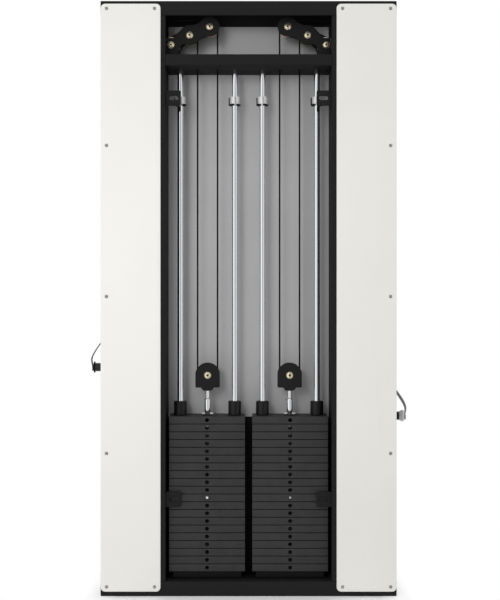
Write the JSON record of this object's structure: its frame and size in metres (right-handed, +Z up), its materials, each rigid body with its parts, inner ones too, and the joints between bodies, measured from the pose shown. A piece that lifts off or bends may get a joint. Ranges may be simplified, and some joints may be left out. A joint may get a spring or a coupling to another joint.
{
  "type": "wall pulley weight stack",
  "caption": "Tall steel frame with twin selectorized weight stacks on guide rods, floating pulleys, and height-adjustable pulley carriages with hand grips.",
  "frame": {"origin": "on the floor, midway between the two stacks, in the plane of the guide rods and of the standing cable", "axes": "+Z up; -Y towards the open rear, which faces the wall; +Y towards the user; +X to the right when looking in from the rear along +Y"},
  "size_m": [1.1836, 0.2652, 2.104],
  "materials": {
    "frame_black": "satin",
    "cover_white": "satin",
    "panel_grey": "matte",
    "plate_grey": "satin paint",
    "chrome": "polished",
    "bolt_brass": "plated",
    "screw_zinc": "plated",
    "black_rubber": "matte",
    "cable_black": "satin",
    "sheave_gold": "satin",
    "knob_black": "gloss",
    "strap_grey": "woven"
  },
  "bodies": {
    "frame": {"base_beam": "frame_black", "top_beam": "frame_black", "middle_beam": "frame_black", "upper_front_panel": "panel_grey", "lower_front_panel": "frame_black", "left_column": "frame_black", "left_rear_cover": "cover_white", "left_inner_guide_rod": "chrome", "left_outer_guide_rod": "chrome", "left_stack_cushion": "black_rubber", "left_resting_plates": "plate_grey", "left_pulley_bracket": "frame_black", "left_lift_cable": "cable_black", "left_standing_cable": "cable_black", "right_column": "frame_black", "right_rear_cover": "cover_white", "right_inner_guide_rod": "chrome", "right_outer_guide_rod": "chrome", "right_stack_cushion": "black_rubber", "right_resting_plates": "plate_grey", "right_pulley_bracket": "frame_black", "right_lift_cable": "cable_black", "right_standing_cable": "cable_black"},
    "left_stack": {"left_selected_plates": "plate_grey", "left_top_plate": "plate_grey", "left_selector_stem": "chrome", "left_pulley_yoke": "frame_black"},
    "left_floating_sheave": {"left_floating_sheave": "sheave_gold"},
    "left_selector_pin": {"left_selector_pin": "knob_black"},
    "left_inner_top_sheave": {"left_inner_top_sheave": "sheave_gold"},
    "left_middle_top_sheave": {"left_middle_top_sheave": "sheave_gold"},
    "left_outer_top_sheave": {"left_outer_top_sheave": "sheave_gold"},
    "left_column_top_sheave": {"left_column_top_sheave": "sheave_gold"},
    "left_column_bottom_sheave": {"left_column_bottom_sheave": "sheave_gold"},
    "left_carriage": {"left_carriage": "frame_black", "left_carriage_cable": "cable_black"},
    "left_plunger": {"left_plunger": "knob_black"},
    "left_carriage_inner_sheave": {"left_carriage_inner_sheave": "sheave_gold"},
    "left_carriage_front_sheave": {"left_carriage_front_sheave": "sheave_gold"},
    "left_handle": {"left_handle_strap": "strap_grey"},
    "left_grip": {"left_handle_grip": "black_rubber"},
    "right_stack": {"right_selected_plates": "plate_grey", "right_top_plate": "plate_grey", "right_selector_stem": "chrome", "right_pulley_yoke": "frame_black"},
    "right_floating_sheave": {"right_floating_sheave": "sheave_gold"},
    "right_selector_pin": {"right_selector_pin": "knob_black"},
    "right_inner_top_sheave": {"right_inner_top_sheave": "sheave_gold"},
    "right_middle_top_sheave": {"right_middle_top_sheave": "sheave_gold"},
    "right_outer_top_sheave": {"right_outer_top_sheave": "sheave_gold"},
    "right_column_top_sheave": {"right_column_top_sheave": "sheave_gold"},
    "right_column_bottom_sheave": {"right_column_bottom_sheave": "sheave_gold"},
    "right_carriage": {"right_carriage": "frame_black", "right_carriage_cable": "cable_black"},
    "right_plunger": {"right_plunger": "knob_black"},
    "right_carriage_inner_sheave": {"right_carriage_inner_sheave": "sheave_gold"},
    "right_carriage_front_sheave": {"right_carriage_front_sheave": "sheave_gold"},
    "right_handle": {"right_handle_strap": "strap_grey"},
    "right_grip": {"right_handle_grip": "black_rubber"}
  },
  "joints": [
    {"name": "left_stack_lift", "type": "slide", "parent": "frame", "child": "left_stack", "axis": [0, 0, 1], "range_m": [0, 1.04], "deforming": ["left_lift_cable"]},
    {"name": "left_floating_spin", "type": "hinge", "parent": "left_stack", "child": "left_floating_sheave", "pos_m": [-0.148, 0, 0.776], "axis": [0, 1, 0], "range_deg": [-1660, 0]},
    {"name": "left_pin_pull", "type": "slide", "parent": "left_stack", "child": "left_selector_pin", "axis": [0, -1, 0], "range_m": [-0.11, 0]},
    {"name": "left_inner_top_spin", "type": "hinge", "parent": "frame", "child": "left_inner_top_sheave", "pos_m": [-0.14, 0, 2.029], "axis": [0, 1, 0], "range_deg": [-4260, 0]},
    {"name": "left_column_top_spin", "type": "hinge", "parent": "frame", "child": "left_column_top_sheave", "pos_m": [-0.467, 0, 2.029], "axis": [0, 1, 0], "range_deg": [-4260, 0]},
    {"name": "left_middle_top_spin", "type": "hinge", "parent": "frame", "child": "left_middle_top_sheave", "pos_m": [-0.212, 0, 1.998], "axis": [0, 1, 0], "range_deg": [-1500, 1376]},
    {"name": "left_outer_top_spin", "type": "hinge", "parent": "frame", "child": "left_outer_top_sheave", "pos_m": [-0.279, 0, 1.963], "axis": [0, 1, 0], "range_deg": [-1500, 1376]},
    {"name": "left_column_bottom_spin", "type": "hinge", "parent": "frame", "child": "left_column_bottom_sheave", "pos_m": [-0.467, 0, 0.15], "axis": [0, 1, 0], "range_deg": [-1376, 1500]},
    {"name": "left_carriage_slide", "type": "slide", "parent": "frame", "child": "left_carriage", "axis": [0, 0, 1], "range_m": [-0.671, 0.732]},
    {"name": "left_plunger_pull", "type": "slide", "parent": "left_carriage", "child": "left_plunger", "axis": [0, 1, 0], "range_m": [-0.0066, 0.0054], "stiffness_N_per_m": 800, "springref_m": -0.01},
    {"name": "left_carriage_inner_spin", "type": "hinge", "parent": "left_carriage", "child": "left_carriage_inner_sheave", "pos_m": [-0.495, 0.028, 1.137], "axis": [1, 0, 0], "continuous": true},
    {"name": "left_carriage_front_spin", "type": "hinge", "parent": "left_carriage", "child": "left_carriage_front_sheave", "pos_m": [-0.495, 0.122, 1.081], "axis": [1, 0, 0], "continuous": true},
    {"name": "left_handle_swing", "type": "hinge", "parent": "left_carriage", "child": "left_handle", "pos_m": [-0.495, 0.15, 0.986], "axis": [1, 0, 0], "range_deg": [-8, 80]},
    {"name": "left_grip_spin", "type": "hinge", "parent": "left_handle", "child": "left_grip", "pos_m": [-0.495, 0.15, 0.795], "axis": [1, 0, 0], "continuous": true},
    {"name": "right_stack_lift", "type": "slide", "parent": "frame", "child": "right_stack", "axis": [0, 0, 1], "range_m": [0, 1.04], "deforming": ["right_lift_cable"]},
    {"name": "right_floating_spin", "type": "hinge", "parent": "right_stack", "child": "right_floating_sheave", "pos_m": [0.148, 0, 0.776], "axis": [0, 1, 0], "range_deg": [0, 1660]},
    {"name": "right_pin_pull", "type": "slide", "parent": "right_stack", "child": "right_selector_pin", "axis": [0, -1, 0], "range_m": [-0.11, 0]},
    {"name": "right_inner_top_spin", "type": "hinge", "parent": "frame", "child": "right_inner_top_sheave", "pos_m": [0.14, 0, 2.029], "axis": [0, 1, 0], "range_deg": [0, 4260]},
    {"name": "right_column_top_spin", "type": "hinge", "parent": "frame", "child": "right_column_top_sheave", "pos_m": [0.467, 0, 2.029], "axis": [0, 1, 0], "range_deg": [0, 4260]},
    {"name": "right_middle_top_spin", "type": "hinge", "parent": "frame", "child": "right_middle_top_sheave", "pos_m": [0.212, 0, 1.998], "axis": [0, 1, 0], "range_deg": [-1001, 1875]},
    {"name": "right_outer_top_spin", "type": "hinge", "parent": "frame", "child": "right_outer_top_sheave", "pos_m": [0.279, 0, 1.963], "axis": [0, 1, 0], "range_deg": [-1001, 1875]},
    {"name": "right_column_bottom_spin", "type": "hinge", "parent": "frame", "child": "right_column_bottom_sheave", "pos_m": [0.467, 0, 0.15], "axis": [0, 1, 0], "range_deg": [-1875, 1001]},
    {"name": "right_carriage_slide", "type": "slide", "parent": "frame", "child": "right_carriage", "axis": [0, 0, 1], "range_m": [-0.488, 0.915]},
    {"name": "right_plunger_pull", "type": "slide", "parent": "right_carriage", "child": "right_plunger", "axis": [0, 1, 0], "range_m": [-0.0066, 0.0054], "stiffness_N_per_m": 800, "springref_m": -0.01},
    {"name": "right_carriage_inner_spin", "type": "hinge", "parent": "right_carriage", "child": "right_carriage_inner_sheave", "pos_m": [0.495, 0.028, 0.954], "axis": [1, 0, 0], "continuous": true},
    {"name": "right_carriage_front_spin", "type": "hinge", "parent": "right_carriage", "child": "right_carriage_front_sheave", "pos_m": [0.495, 0.122, 0.898], "axis": [1, 0, 0], "continuous": true},
    {"name": "right_handle_swing", "type": "hinge", "parent": "right_carriage", "child": "right_handle", "pos_m": [0.495, 0.15, 0.803], "axis": [1, 0, 0], "range_deg": [-8, 80]},
    {"name": "right_grip_spin", "type": "hinge", "parent": "right_handle", "child": "right_grip", "pos_m": [0.495, 0.15, 0.612], "axis": [1, 0, 0], "continuous": true}
  ],
  "couplings": [
    {"joint": "left_floating_spin", "follows": "left_stack_lift", "rad_per_m": -27.778},
    {"joint": "left_inner_top_spin", "follows": "left_stack_lift", "rad_per_m": -71.429},
    {"joint": "left_column_top_spin", "follows": "left_stack_lift", "rad_per_m": -71.429},
    {"joint": "left_middle_top_spin", "follows": "left_carriage_slide", "rad_per_m": -35.714},
    {"joint": "left_outer_top_spin", "follows": "left_carriage_slide", "rad_per_m": -35.714},
    {"joint": "left_column_bottom_spin", "follows": "left_carriage_slide", "rad_per_m": 35.714},
    {"joint": "right_floating_spin", "follows": "right_stack_lift", "rad_per_m": 27.778},
    {"joint": "right_inner_top_spin", "follows": "right_stack_lift", "rad_per_m": 71.429},
    {"joint": "right_column_top_spin", "follows": "right_stack_lift", "rad_per_m": 71.429},
    {"joint": "right_middle_top_spin", "follows": "right_carriage_slide", "rad_per_m": 35.714},
    {"joint": "right_outer_top_spin", "follows": "right_carriage_slide", "rad_per_m": 35.714},
    {"joint": "right_column_bottom_spin", "follows": "right_carriage_slide", "rad_per_m": -35.714}
  ]
}
